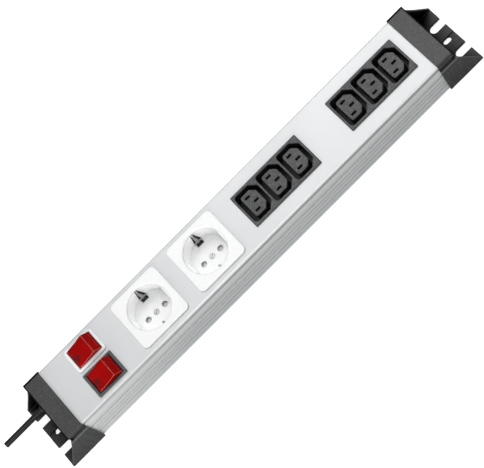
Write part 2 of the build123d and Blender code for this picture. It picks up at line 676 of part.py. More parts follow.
for number, x in enumerate(SCHUKO_X, 1):
    save(f"schuko_{number}_face", schuko_face(x))
    save(f"schuko_{number}_centre_screw", schuko_centre_screw(x))
    save(f"schuko_{number}_earth_clip", schuko_earth_clip(x))
    save(f"schuko_{number}_base", schuko_base(x))
    save(f"schuko_{number}_shutter", schuko_shutter(x))
    save(f"schuko_{number}_contact_live", schuko_contact(x - PIN_X, BUS_Y))
    save(f"schuko_{number}_contact_neutral", schuko_contact(x + PIN_X, -BUS_Y))

# ---------------------------------------------------------------- appliance outlet blocks
IEC_L, IEC_W, IEC_UP = 74.6, 35.4, 1.6
IEC_TOP = FACE_Z + IEC_UP
IEC_UNDER = FACE_Z - 20            # joint between face and cover
COVER_Z = FACE_Z - 28.0            # rear of the cover
COVER_T = 1.4
IEC_HALF_X, IEC_HALF_Y = 36.2, 16.5
OUTLETS = [k * 24.1 for k in (-1, 0, 1)]   # outlet centres from the block's
# contacts: name, X offset from the outlet centre, Y
IEC_PINS = [("live", -2.2, BUS_Y), ("neutral", -2.2, -BUS_Y), ("earth", 1.9, 0.0)]


def outlet_outline(x, half_x, half_y, big, small):
    """(x, y) outline: large chamfers at +X, small two-step corners at -X."""
    step = small * 0.3
    return [
        (x + half_x - big, half_y), (x + half_x, half_y - big),
        (x + half_x, -half_y + big), (x + half_x - big, -half_y),
        (x - half_x + small, -half_y), (x - half_x + step, -half_y + step),
        (x - half_x, -half_y + small), (x - half_x, half_y - small),
        (x - half_x + step, half_y - step), (x - half_x + small, half_y),
    ]


def iec_face(mid_x):
    face = round_block(mid_x, 0, IEC_L, IEC_W, 0.8, FACE_Z, IEC_TOP)
    face = chamfer(face.edges().group_by(Axis.Z)[-1], 0.6)
    face += block(mid_x - IEC_HALF_X, mid_x + IEC_HALF_X, -IEC_HALF_Y, IEC_HALF_Y,
                  IEC_UNDER, FACE_Z)
    for offset in OUTLETS:
        x = mid_x + offset
        recess = prism_z(outlet_outline(x, 11.2, 15.3, 6.3, 2.9), IEC_TOP - 17.0, IEC_TOP + 1)
        nose = prism_z(outlet_outline(x, 7.4, 11.2, 4.4, 2.2), IEC_TOP - 17.1, IEC_TOP - 0.3)
        nose = chamfer(nose.edges().group_by(Axis.Z)[-1], 0.35)
        face -= recess
        face += nose
        for _, pin_x, y in IEC_PINS:
            # entry slot, wider below the nose top: half length, half width, top
            for half_x, half_y, top_z in ((2.5, 1.15, IEC_TOP + 1), (2.9, 1.8, FACE_Z - 3)):
                face -= block(x + pin_x - half_x, x + pin_x + half_x, y - half_y, y + half_y,
                              IEC_UNDER - 1, top_z)
    return face


def iec_cover(x):
    cover = block(x - IEC_HALF_X, x + IEC_HALF_X, -IEC_HALF_Y, IEC_HALF_Y, COVER_Z, IEC_UNDER)
    inner_x, inner_y = IEC_HALF_X - COVER_T, IEC_HALF_Y - COVER_T
    cover -= block(x - inner_x, x + inner_x, -inner_y, inner_y, COVER_Z + COVER_T, FACE_Z - 19)
    for y in (BUS_Y, 0.0, -BUS_Y):
        cover -= block(x - 33.0, x - 31.4, y - 1.7, y + 1.7, COVER_Z - 1, COVER_Z + 2)
        cover += block(x + 30, x + 34.9, y - 2.4, y + 2.4, COVER_Z + 2.26, IEC_UNDER)
    return cover


def iec_contact(mid_x, pin_x, y):
    """Strip along the block with a pair of leaves per outlet and a leg to the bar."""
    z0, z1 = COVER_Z + COVER_T, COVER_Z + 2.2
    contact = block(mid_x - 32.6, mid_x + 33, y - 1.7, y + 1.7, z0, z1)
    for offset in OUTLETS:
        x = mid_x + offset + pin_x
        for side in SIDES:
            contact += block(x - 2.4, x + 2.4, y + side * 1.1, y + side * 1.6, z0, FACE_Z - 5)
    contact += block(mid_x - 32.6, mid_x - 31.8, y - 1.5, y + 1.5, BUS_Z1, z1)
    return contact


for number, x in enumerate(IEC_X, 1):
    save(f"iec_{number}_face", iec_face(x))
    save(f"iec_{number}_cover", iec_cover(x))
    for name, pin_x, y in IEC_PINS:
        save(f"iec_{number}_contact_{name}", iec_contact(x, pin_x, y))

# ---------------------------------------------------------------- bus bars and their supports
SUPPORT_X = (-140.0, -66.0, 3.0, 103.0, 190.0)


def busbar_supports():
    supports = []
    for x in SUPPORT_X:
        support = block(x - 3, x + 3, -13, 13, FLOOR_Z1, BUS_Z0 + 2.6)
        for y in (BUS_Y, 0.0, -BUS_Y):
            support -= block(x - 4, x + 4, y - 2.03, y + 2.03, BUS_Z0, BUS_Z0 + 4)
        supports.append(support)
    return Compound(children=supports)


for name, y in (("live", BUS_Y), ("neutral", -BUS_Y), ("earth", 0.0)):
    save(f"busbar_{name}", block(BUS_X0, BUS_X1, y - 2.0, y + 2.0, BUS_Z0, BUS_Z1))
save("busbar_supports", busbar_supports())

# ---------------------------------------------------------------- wiring
CORE_R, COPPER_R, LINK_R = 0.93, 0.55, 0.9
CORE_OFF = 1.09                    # core centres from the cable's axis
OUTER_Y, INNER_Y = SW_Y + POLES[0], SW_Y + POLES[1]   # poles of switch 1
OUT_X = SW_X + FEED_X              # outer terminals
LINK_Z = BUS_Z1 + 0.92             # links lying on the live and neutral bars


def core_place(angle):
    """(y, z) of a core in the cable, at an angle in degrees."""
    turn = math.radians(angle)
    return (CABLE_Y + CORE_OFF * math.cos(turn), CABLE_Z + CORE_OFF * math.sin(turn))


def core_path(start_x, angle, bends):
    """A straight run inside the cable up to start_x, then the bends."""
    place = core_place(angle)
    return [(CABLE_END, *place), (start_x, *place)] + bends


def switch_core_path(angle, y):
    """Path of a core that ends at a centre blade of switch 1."""
    return core_path(-199.0, angle, [(-192.0, y, 17.0), (-176.0, y, 17.0),
                                     (SW_X - 5.0, y, EYE_Z), (SW_X - 2.2, y, EYE_Z)])


CORES = {
    "live": switch_core_path(30, OUTER_Y),
    "neutral": switch_core_path(150, INNER_Y),
    "earth": core_path(-203.0, 270, [(-199.5, 13.0, 12.0), (-196.8, 8.2, 6.4)]),
}
# inside links: switch 1 to switch 2, switch 2 to the bars, bonding screw to the earth bar
LINKS = [
    [(OUT_X, OUTER_Y, TAB_Z), (OUT_X, OUTER_Y, 14.2), (SW_X + 3.5, 14.0, 13.2),
     (SW_X + 3.5, -INNER_Y, 13.2), (SW_X, -INNER_Y, 14.5), (SW_X, -INNER_Y, TAB_Z)],
    [(OUT_X, INNER_Y, TAB_Z), (OUT_X, INNER_Y, 12.0), (SW_X + 0.5, 8.0, 10.6),
     (SW_X + 0.5, -17.0, 10.6), (SW_X, -OUTER_Y, 13.5), (SW_X, -OUTER_Y, TAB_Z)],
    [(OUT_X, -INNER_Y, TAB_Z), (OUT_X, -INNER_Y, 16.2), (SW_X + 11.5, -4.0, 14.4),
     (-148.5, BUS_Y, 12.2), (-145.0, BUS_Y, LINK_Z)],
    [(OUT_X, -OUTER_Y, TAB_Z), (OUT_X, -OUTER_Y, 14.0), (-149.5, -12.0, 12.4),
     (-145.0, -BUS_Y, LINK_Z)],
    [(EARTH_X + 4.4, -1.0, 3.9), (EARTH_X + 9.0, -1.0, 4.6), (-152.0, 0.0, 4.6),
     (-147.2, 0.0, 9.6)],
]


def past_end(path, distance):
    """The point a distance beyond the path's end, straight on."""
    end = Vector(*path[-1])
    return tuple(end + (end - Vector(*path[-2])).normalized() * distance)


def core_insulation(path):
    bore = [(CABLE_END - 1, *path[0][1:])] + path[1:-1] + [past_end(path, 1.0)]
    return tube(path, CORE_R) - tube(bore, COPPER_R)


def core_copper(path):
    return tube(path[:-1] + [past_end(path, 3.4)], COPPER_R)


def earth_copper(path):
    """Earth conductor with the ring tag under the bonding screw."""
    copper = tube(path[:-1] + [past_end(path, 1.2), (-196.4, 6.4, 3.6)], COPPER_R)
    ring = rod((EARTH_X, EARTH_Y, FLOOR_Z1), UP, 3.6, RING_T)
    ring -= rod((EARTH_X, EARTH_Y, 2), UP, 1.8, 3)
    tongue = block(EARTH_X - 1.6, EARTH_X + 1.0, 2.4, 7.4, FLOOR_Z1, FLOOR_Z1 + RING_T)
    return copper + (ring + tongue)


for name, path in CORES.items():
    save(f"cable_core_{name}", core_insulation(path))
save("cable_copper", Compound(children=[
    core_copper(CORES["live"]), core_copper(CORES["neutral"]), earth_copper(CORES["earth"])]))
save("switch_links", Compound(children=[tube(path, LINK_R) for path in LINKS]))
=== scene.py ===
"""Looks and studio for a power strip.

The strip lies along X on the floor plane z = 0, about 60 mm wide in Y, with its sockets and
switch keys facing +Z. The switch is towards -X. Both ends have a black plastic cap.
"""
import json
from functools import cached_property

import bpy
from mathutils import Matrix, Vector

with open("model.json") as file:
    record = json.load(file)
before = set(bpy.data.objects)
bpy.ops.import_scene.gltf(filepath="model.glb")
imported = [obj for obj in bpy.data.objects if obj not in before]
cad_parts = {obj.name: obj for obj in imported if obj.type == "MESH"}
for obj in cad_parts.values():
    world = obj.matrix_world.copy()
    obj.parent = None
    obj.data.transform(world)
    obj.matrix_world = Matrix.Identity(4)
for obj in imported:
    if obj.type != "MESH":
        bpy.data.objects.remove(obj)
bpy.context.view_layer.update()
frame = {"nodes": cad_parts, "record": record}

MM = 0.001

# Places on the strip, in mm
SOCKET_MID_X = -66.15       # midway between the two socket inserts
SOCKET_HALF_PITCH = 32.65
RECESS_RADIUS = 19.75       # round recess of a socket insert
KEY_Y = 14.05               # the two red keys are centred at y = +KEY_Y and y = -KEY_Y
FRAME_X = -162.6            # middle of the key's opening in the switch frame
FRAME_HALF_X = 12.95
FRAME_HALF_Y = 9.75
LAMP_X = -172.5             # the lamp's shadow in the keys

BLACK = (0.0, 0.0, 0.0)
WHITE = (1.0, 1.0, 1.0)


# ---------------------------------------------------------------- node helpers
class Graph:
    """Short calls that add nodes to one node tree; each returns an output socket."""

    def __init__(self, tree):
        self.tree = tree

    def plug(self, node, inputs):
        """Link or set each input, given by name or number."""
        for key, value in inputs.items():
            if isinstance(value, bpy.types.NodeSocket):
                self.tree.links.new(value, node.inputs[key])
            else:
                node.inputs[key].default_value = value

    def node(self, kind, inputs=None, **settings):
        """Add a node and return the node itself."""
        node = self.tree.nodes.new(kind)
        for key, value in settings.items():
            setattr(node, key, value)
        self.plug(node, inputs or {})
        return node

    def math(self, operation, *values, clamp=False):
        inputs = dict(enumerate(values))
        node = self.node("ShaderNodeMath", inputs, operation=operation, use_clamp=clamp)
        return node.outputs[0]

    def times(self, *factors, clamp=False):
        """Product of the factors, taken from the left; clamp holds for the last step."""
        *earlier, last = factors
        product = self.times(*earlier) if len(earlier) > 1 else earlier[0]
        return self.math("MULTIPLY", product, last, clamp=clamp)

    def inverse(self, value):
        return self.math("SUBTRACT", 1.0, value)

    def sum_squares(self, first, second):
        return self.math("ADD", self.times(first, first), self.times(second, second))

    def beyond(self, value, middle, half):
        """How far value lies outside middle +- half; both in mm."""
        offset = self.math("ADD", value, -middle * MM)
        return self.math("SUBTRACT", self.math("ABSOLUTE", offset), half * MM)

    def ramp(self, value, low, high, first, last, unit=1.0):
        """Go from first to last as value goes from low to high; unit scales low and high."""
        inputs = {
            "Value": value,
            "From Min": low * unit,
            "From Max": high * unit,
            "To Min": first,
            "To Max": last,
        }
        return self.node("ShaderNodeMapRange", inputs).outputs[0]

    def rise(self, value, low, high, top=1.0, unit=1.0):
        return self.ramp(value, low, high, first=0.0, last=top, unit=unit)

    def fall(self, value, low, high, top=1.0, unit=1.0):
        return self.ramp(value, low, high, first=top, last=0.0, unit=unit)

    def band(self, value, low, high, soft, unit=1.0):
        """1 between low and high, falling to 0 over soft at both ends."""
        low, high, half = low * unit, high * unit, soft * unit / 2
        return self.times(
            self.rise(value, low - half, low + half),
            self.fall(value, high - half, high + half),
        )

    def mix(self, factor, first, second):
        """Mix two colours, each a socket or an RGB triple."""
        first, second = (
            color if isinstance(color, bpy.types.NodeSocket) else (*color, 1.0)
            for color in (first, second)
        )
        # inputs 6 and 7 and output 2 are the colour sockets
        inputs = {0: factor, 6: first, 7: second}
        return self.node("ShaderNodeMix", inputs, data_type="RGBA").outputs[2]

    def split(self, vector):
        """X, Y and Z outputs of a vector."""
        return self.node("ShaderNodeSeparateXYZ", {0: vector}).outputs

    def camera_ray(self):
        return self.node("ShaderNodeLightPath").outputs["Is Camera Ray"]


class Material(Graph):
    """A new material with one Principled surface."""

    def __init__(self, name):
        self.material = bpy.data.materials.new(name)
        self.material.use_nodes = True
        super().__init__(self.material.node_tree)
        self.tree.nodes.clear()
        output = self.node("ShaderNodeOutputMaterial")
        self.principled = self.node("ShaderNodeBsdfPrincipled")
        self.plug(output, {0: self.principled.outputs[0]})

    def surface(self, inputs):
        """Set inputs of the Principled surface and return the material."""
        self.plug(self.principled, inputs)
        return self.material

    @cached_property
    def place(self):
        return self.node("ShaderNodeTexCoord").outputs["Object"]

    def true_normal(self):
        return self.node("ShaderNodeNewGeometry").outputs["True Normal"]

    def noise(self, scale, detail=3.0, roughness=0.5, distortion=0.0, stretch=None):
        """Noise over object space; a stretch factor below 1 draws it out along that axis."""
        vector = self.place
        if stretch:
            inputs = {0: vector, 1: stretch}
            vector = self.node("ShaderNodeVectorMath", inputs, operation="MULTIPLY").outputs[0]
        inputs = {
            "Vector": vector,
            "Scale": scale,
            "Detail": detail,
            "Roughness": roughness,
            "Distortion": distortion,
        }
        return self.node("ShaderNodeTexNoise", inputs).outputs[0]

    def edges(self, radius, low=0.02, high=0.25):
        """Mask of edges narrower than radius (mm), and the rounded normal that goes with it."""
        bevel = self.node("ShaderNodeBevel", {"Radius": radius * MM}, samples=4).outputs[0]
        normal = self.node("ShaderNodeNewGeometry").outputs["Normal"]
        dot = self.node("ShaderNodeVectorMath", {0: bevel, 1: normal}, operation="DOT_PRODUCT")
        return self.rise(self.inverse(dot.outputs["Value"]), low, high), bevel

    def openness(self, distance, samples, only_local=False):
        """Ambient occlusion within distance (mm): 1 in the open, 0 deep in corners."""
        inputs = {"Distance": distance * MM}
        node = self.node(
            "ShaderNodeAmbientOcclusion", inputs, samples=samples, only_local=only_local
        )
        return node.outputs["AO"]

    def bump(self, height, strength, distance, normal=None):
        """Bumped normal; distance is in mm."""
        inputs = {"Height": height, "Strength": strength, "Distance": distance * MM}
        if normal is not None:
            inputs["Normal"] = normal
        return self.node("ShaderNodeBump", inputs).outputs[0]


def scaled(color, factor, lift=0.0):
    return tuple(min(1.0, part * factor + lift) for part in color)


# ---------------------------------------------------------------- general materials
def plastic(name, color, roughness=0.42, grain=2600.0, depth=0.03, vary=0.08, edge=0.30,
            wear=0.10, worn=None, coat=0.0, scatter=0.0, speckle=0.0, details=None):
    """Moulded plastic: eroded grain, slow shade drift, slightly rubbed edges.

    grain is the noise scale and depth (mm) its height; vary is the shade drift; edge (mm) is
    the width of the rubbed edges, wear their strength and worn their colour; scatter is the
    subsurface weight; speckle is a coarse shade grain; details(mat, base, worn) recolours base.
    """
    mat = Material(name)
    slow = mat.noise(scale=40.0, detail=4.0, roughness=0.55)
    fine = mat.noise(scale=grain, detail=2.0, roughness=0.6)
    scuff = mat.noise(
        scale=420.0, detail=5.0, roughness=0.62, distortion=0.4, stretch=(1.0, 3.0, 1.5)
    )
    mask, normal = mat.edges(edge)
    worn = worn or scaled(color, 1.6, lift=0.03)

    base = mat.mix(mat.rise(slow, 0.3, 0.7), scaled(color, 1.0 - vary), scaled(color, 1.0 + vary))
    scuffed = mat.ramp(scuff, 0.35, 0.65, first=0.25, last=1.0)
    base = mat.mix(mat.times(mask, scuffed, wear, clamp=True), base, worn)
    if speckle:
        specks = mat.noise(scale=760.0, roughness=0.8)
        base = mat.mix(mat.fall(specks, 0.38, 0.50, top=speckle), base, BLACK)
        base = mat.mix(mat.rise(specks, 0.50, 0.64, top=speckle), base, worn)
    if details:
        base = details(mat, base, worn)
    if scatter:
        mat.surface({
            "Subsurface Weight": scatter,
            "Subsurface Radius": (1.0, 0.95, 0.9),
            "Subsurface Scale": 2.2 * MM,
        })
    height = mat.math("MULTIPLY_ADD", scuff, 0.25, fine)
    return mat.surface({
        "Base Color": base,
        "Roughness": mat.ramp(scuff, 0.3, 0.7, first=roughness - 0.05, last=roughness + 0.06),
        "Normal": mat.bump(height, strength=0.5, distance=depth, normal=normal),
        "Coat Weight": coat,
        "Coat Roughness": 0.12,
    })


def metal(name, color, roughness, scale, depth=0.01, tarnish=0.12, stretch=(1.0, 1.0, 1.0),
          shade=None):
    """Stamped or turned metal: directional grain, faint tarnish, bright edges.

    scale, stretch and depth (mm) shape the grain; shade is the reach (mm) and strength of
    the painted shade in corners.
    """
    mat = Material(name)
    grain = mat.noise(scale=scale, detail=4.0, roughness=0.6, stretch=stretch)
    slow = mat.noise(scale=130.0, detail=4.0, roughness=0.6)
    mask, normal = mat.edges(0.12)
    base = mat.mix(mat.rise(slow, 0.35, 0.7), color, scaled(color, 1.0 - tarnish))
    base = mat.mix(mat.times(mask, 0.25, clamp=True), base, scaled(color, 1.15, lift=0.04))
    if shade:
        reach, strength = shade
        # painted shade: darker where corners close in
        painted_corner_shade = mat.fall(mat.openness(reach, samples=8), 0.15, 0.75, top=strength)
        base = mat.mix(painted_corner_shade, base, (0.01, 0.01, 0.01))
    return mat.surface({
        "Base Color": base,
        "Metallic": 1.0,
        "Roughness": mat.ramp(grain, 0.3, 0.7, first=roughness - 0.07, last=roughness + 0.09),
        "Normal": mat.bump(grain, strength=0.5, distance=depth, normal=normal),
    })


# ---------------------------------------------------------------- single materials
def anodised():
    """Satin anodised extrusion: lengthwise die lines, cloudy film, brighter arrises, painted
    highlights and painted shade along the long sides.
    """
    mat = Material("anodised_aluminium")
    streak = mat.noise(scale=1500.0, roughness=0.65, stretch=(0.012, 1.0, 1.0))
    broad = mat.noise(scale=190.0, stretch=(0.02, 1.0, 1.0))
    sparkle = mat.noise(scale=5200.0, detail=2.0, roughness=0.7)
    cloud = mat.noise(scale=16.0)
    mask, normal = mat.edges(0.35, high=0.3)
    base = mat.mix(mat.rise(cloud, 0.3, 0.7), (0.585, 0.597, 0.605), (0.625, 0.636, 0.645))
    base = mat.mix(mat.rise(broad, 0.35, 0.65, top=0.05), base, (0.62, 0.64, 0.65))
    base = mat.mix(mat.times(mask, 0.45, clamp=True), base, (0.93, 0.94, 0.94))

    x, y, z = mat.split(mat.place)
    # painted highlight along the rounded shoulder of the -Y side
    painted_shoulder_highlight = mat.times(
        mat.band(z, 43.2, 46.3, soft=0.5, unit=MM),
        mat.fall(y, -29.4, -28.5, unit=MM),
        mat.ramp(x, -190.0, -60.0, first=0.1, last=1.0, unit=MM),
    )
    base = mat.mix(mat.times(painted_shoulder_highlight, 0.95), base, WHITE)
    # painted shade: the same height on the +Y side is darker
    painted_far_shoulder_shade = mat.times(
        mat.band(z, 43.2, 47.0, soft=0.5, unit=MM),
        mat.rise(y, 29.0, 29.6, top=0.6, unit=MM),
    )
    base = mat.mix(painted_far_shoulder_shade, base, (0.20, 0.21, 0.21))
    # painted shade in the wide upper groove on both sides, with a painted highlight on the lip
    # below it
    painted_groove_shade = mat.times(
        mat.band(z, 38.1, 43.2, soft=0.6, unit=MM),
        mat.rise(mat.math("ABSOLUTE", y), 27.4, 27.8, unit=MM),
        0.46,
    )
    base = mat.mix(painted_groove_shade, base, (0.16, 0.17, 0.17))
    painted_lip_highlight = mat.times(mat.band(z, 33.5, 38.3, soft=3.0, unit=MM), 0.30)
    base = mat.mix(painted_lip_highlight, base, (0.96, 0.97, 0.97))
    # painted light: the -X end of the -Y side is paler
    painted_pale_end = mat.times(
        mat.fall(x, -200.0, -100.0, top=0.38, unit=MM),
        mat.fall(y, -29.6, -29.3, unit=MM),
    )
    base = mat.mix(painted_pale_end, base, (0.97, 0.98, 0.98))
    # painted shade in narrow grooves and corners, except on the shoulder
    painted_pit_shade = mat.fall(mat.openness(2.2, samples=6, only_local=True), 0.25, 0.95)
    painted_pit_shade = mat.times(painted_pit_shade, mat.inverse(painted_shoulder_highlight), 0.85, clamp=True)
    base = mat.mix(painted_pit_shade, base, (0.20, 0.21, 0.21))

    height = mat.math("MULTIPLY_ADD", streak, 0.25, sparkle)
    return mat.surface({
        "Base Color": base,
        "Metallic": mat.ramp(painted_shoulder_highlight, 0.0, 1.0, first=0.25, last=0.05),
        "Roughness": mat.ramp(streak, 0.3, 0.7, first=0.38, last=0.43),
        "Normal": mat.bump(height, strength=0.20, distance=0.004, normal=normal),
    })


def ruby():
    """Translucent red key: deep dyed plastic, painted highlights along its arrises, with a
    painted shadow of its lamp.
    """
    mat = Material("ruby_key")
    slow = mat.noise(scale=110.0)
    middle = mat.noise(scale=420.0, detail=4.0, roughness=0.6, distortion=0.5)
    fine = mat.noise(scale=1800.0, detail=2.0, roughness=0.6)
    mask, normal = mat.edges(0.75, low=0.01, high=0.22)
    base = mat.mix(mat.rise(slow, 0.3, 0.7), (0.32, 0.0003, 0.0005), (0.44, 0.0008, 0.0010))

    # shadow of the lamp: a soft blot with a ragged rim, shifted 1.5 mm towards -Y in both keys
    x, y, z = mat.split(mat.place)
    blot_x = mat.times(mat.math("SUBTRACT", x, LAMP_X * MM), 170.0)
    width = mat.math("ABSOLUTE", y)
    shift = mat.times(mat.math("SIGN", y), 1.5 * MM)
    from_key = mat.math("SUBTRACT", width, KEY_Y * MM)
    blot_y = mat.times(mat.math("ADD", from_key, shift), 190.0)
    ragged = mat.ramp(middle, 0.3, 0.7, first=-0.35, last=0.35)
    reach = mat.math("ADD", mat.sum_squares(blot_x, blot_y), ragged)
    blot = mat.times(mat.fall(reach, 0.05, 1.0), 0.75, clamp=True)
    base = mat.mix(blot, base, (0.085, 0.012, 0.012))

    # the fine ribs of the steep face get no painted highlight
    off_center = mat.math("ABSOLUTE", mat.math("SUBTRACT", width, KEY_Y * MM))
    ribs = mat.times(
        mat.band(x, -155.2, -151.6, soft=0.4, unit=MM),
        mat.fall(off_center, 8.7, 8.9, unit=MM),
    )
    mask = mat.times(mask, mat.inverse(ribs))
    # painted highlight: the crest and the -Y flank of each key catch the light
    painted_crest_highlight = mat.band(x, -157.0, -155.4, soft=0.5, unit=MM)
    to_center = mat.times(mat.math("SIGN", y), -KEY_Y * MM)
    painted_flank = mat.fall(mat.math("ADD", y, to_center), -8.6, -7.9, unit=MM)
    painted_edge_highlight = mat.times(mask, mat.math("MAXIMUM", painted_crest_highlight, painted_flank), clamp=True)
    # painted highlight on every arris
    base = mat.mix(mat.times(mask, 0.45, clamp=True), base, (0.80, 0.10, 0.085))
    base = mat.mix(painted_edge_highlight, base, (1.0, 0.42, 0.34))

    height = mat.math("MULTIPLY_ADD", slow, 0.6, fine)
    return mat.surface({
        "Base Color": base,
        "IOR": 1.49,
        "Transmission Weight": 0.22,
        "Specular IOR Level": mat.ramp(mask, 0.0, 1.0, first=0.04, last=0.5),
        "Roughness": mat.ramp(fine, 0.3, 0.7, first=0.12, last=0.22),
        "Normal": mat.bump(height, strength=0.3, distance=0.02, normal=normal),
    })


def lamp_glass():
    """Clear warm glass with a slightly uneven surface."""
    mat = Material("lamp_glass")
    ripple = mat.noise(scale=700.0)
    return mat.surface({
        "Base Color": mat.mix(
            mat.rise(ripple, 0.3, 0.7), (0.95, 0.80, 0.72), (0.75, 0.55, 0.45)
        ),
        "Transmission Weight": 0.7,
        "IOR": 1.5,
        "Roughness": mat.ramp(ripple, 0.3, 0.7, first=0.05, last=0.25),
        "Normal": mat.bump(ripple, strength=0.3, distance=0.01),
    })


def earth_insulation():
    """Green and yellow insulation, striped across Y."""
    mat = Material("earth_insulation")
    inputs = {"Vector": mat.place, "Scale": 260.0, "Distortion": 1.2, "Detail": 1.0}
    wave = mat.node("ShaderNodeTexWave", inputs, wave_type="BANDS", bands_direction="Y")
    grime = mat.noise(scale=1500.0)
    stripes = mat.rise(wave.outputs[1], 0.45, 0.55)
    base = mat.mix(stripes, (0.08, 0.32, 0.03), (0.80, 0.70, 0.03))
    return mat.surface({
        "Base Color": mat.mix(mat.rise(grime, 0.3, 0.7, top=0.15), base, (0.1, 0.1, 0.05)),
        "Roughness": mat.ramp(grime, 0.3, 0.7, first=0.35, last=0.5),
        "Normal": mat.bump(grime, strength=0.4, distance=0.01),
    })


def cable_jacket():
    """Black cable jacket: extruded lengthwise lines, dull satin."""
    mat = Material("cable_jacket")
    streak = mat.noise(scale=2200.0, roughness=0.6, stretch=(0.02, 1.0, 1.0))
    cloud = mat.noise(scale=90.0)
    fine = mat.noise(scale=3000.0, detail=2.0, roughness=0.6)
    base = mat.mix(mat.rise(cloud, 0.3, 0.7), (0.007, 0.007, 0.008), (0.012, 0.012, 0.013))
    # painted highlight along the crest, a little to the -Y side of the top
    facing = mat.true_normal()
    painted_crest_highlight = mat.times(
        mat.band(mat.split(facing)["Y"], -0.50, -0.22, soft=0.10),
        mat.rise(mat.split(facing)["Z"], 0.2, 0.6),
        0.8,
    )
    height = mat.math("MULTIPLY_ADD", streak, 0.7, fine)
    return mat.surface({
        "Base Color": mat.mix(painted_crest_highlight, base, (0.050, 0.050, 0.054)),
        "Roughness": mat.ramp(streak, 0.3, 0.7, first=0.26, last=0.36),
        "Normal": mat.bump(height, strength=0.4, distance=0.02),
        "Specular IOR Level": 0.22,
    })


# ---------------------------------------------------------------- details of the plastics
def cap_lines(mat, base, worn):
    """Long sides of a cap: draw marks, painted shade on the +X cap's sides, and a painted
    highlight on a lip under a moulded groove with painted shade.
    """
    x, y, z = mat.split(mat.place)
    outside = mat.rise(mat.math("ABSOLUTE", y), 29.8, 30.2, unit=MM)
    facing_y = mat.split(mat.true_normal())["Y"]
    side = mat.rise(mat.math("ABSOLUTE", facing_y), 0.75, 0.9)
    draw = mat.noise(scale=900.0, detail=2.0, roughness=0.6, stretch=(1.0, 1.0, 0.03))
    # painted shade: the sides of the +X cap are darker
    painted_far_end_shade = mat.times(mat.rise(x, -100.0, 100.0, unit=MM), 0.42)
    base = mat.mix(mat.times(side, painted_far_end_shade), base, BLACK)
    base = mat.mix(mat.times(side, mat.rise(draw, 0.52, 0.66, top=0.14)), base, worn)
    base = mat.mix(mat.times(side, mat.fall(draw, 0.34, 0.48, top=0.40)), base, BLACK)
    # low z, high z and softness in mm, strength, colour: the groove's painted shade, then the
    # lip's painted highlight
    for low, high, soft, strength, color in (
        (37.5, 41.6, 0.6, 0.80, BLACK),
        (34.9, 36.9, 0.8, 0.85, worn),
    ):
        painted_stripe = mat.times(mat.band(z, low, high, soft=soft, unit=MM), outside, strength)
        base = mat.mix(painted_stripe, base, color)
    return base


def cap_shadow(mat):
    """Mask of the cap's shadowed parts."""
    shadow = mat.fall(mat.openness(34.0, samples=8, only_local=True), 0.45, 0.95)
    # the rounded top edge of the +Y side
    far_edge = mat.times(
        mat.rise(mat.split(mat.place)["Y"], 28.7, 29.3, top=0.93, unit=MM),
        mat.rise(mat.split(mat.place)["Z"], 42.5, 44.0, unit=MM),
    )
    # the root of the foot along each end wall, on faces that look up
    x = mat.split(mat.place)["X"]
    near_root = mat.times(
        mat.math("MAXIMUM", mat.rise(x, -224.8, -222.3, unit=MM), 0.0),
        mat.fall(x, -200.0, -199.0, unit=MM),
    )
    far_root = mat.times(
        mat.ramp(x, 221.5, 232.0, first=0.95, last=0.28, unit=MM),
        mat.rise(x, 199.0, 200.0, unit=MM),
    )
    root = mat.times(
        mat.math("ADD", near_root, far_root),
        mat.fall(mat.split(mat.place)["Z"], 3.4, 3.8, unit=MM),
        mat.rise(mat.split(mat.true_normal())["Z"], 0.5, 0.8),
    )
    # the hood's rim above the foot
    rim = mat.times(
        mat.rise(mat.math("ABSOLUTE", x), 220.1, 220.5, top=0.9, unit=MM),
        mat.rise(mat.split(mat.place)["Z"], 43.0, 44.5, unit=MM),
    )
    for part in (rim, far_edge, root):
        shadow = mat.math("MAXIMUM", shadow, part)
    return shadow


def cap_details(mat, base, worn):
    """Lines on the long sides, then shadows that also take away the gloss."""
    base = cap_lines(mat, base, worn)
    shadow = cap_shadow(mat)
    mat.surface({"Specular IOR Level": mat.times(mat.inverse(shadow), 0.5)})
    return mat.mix(shadow, base, BLACK)


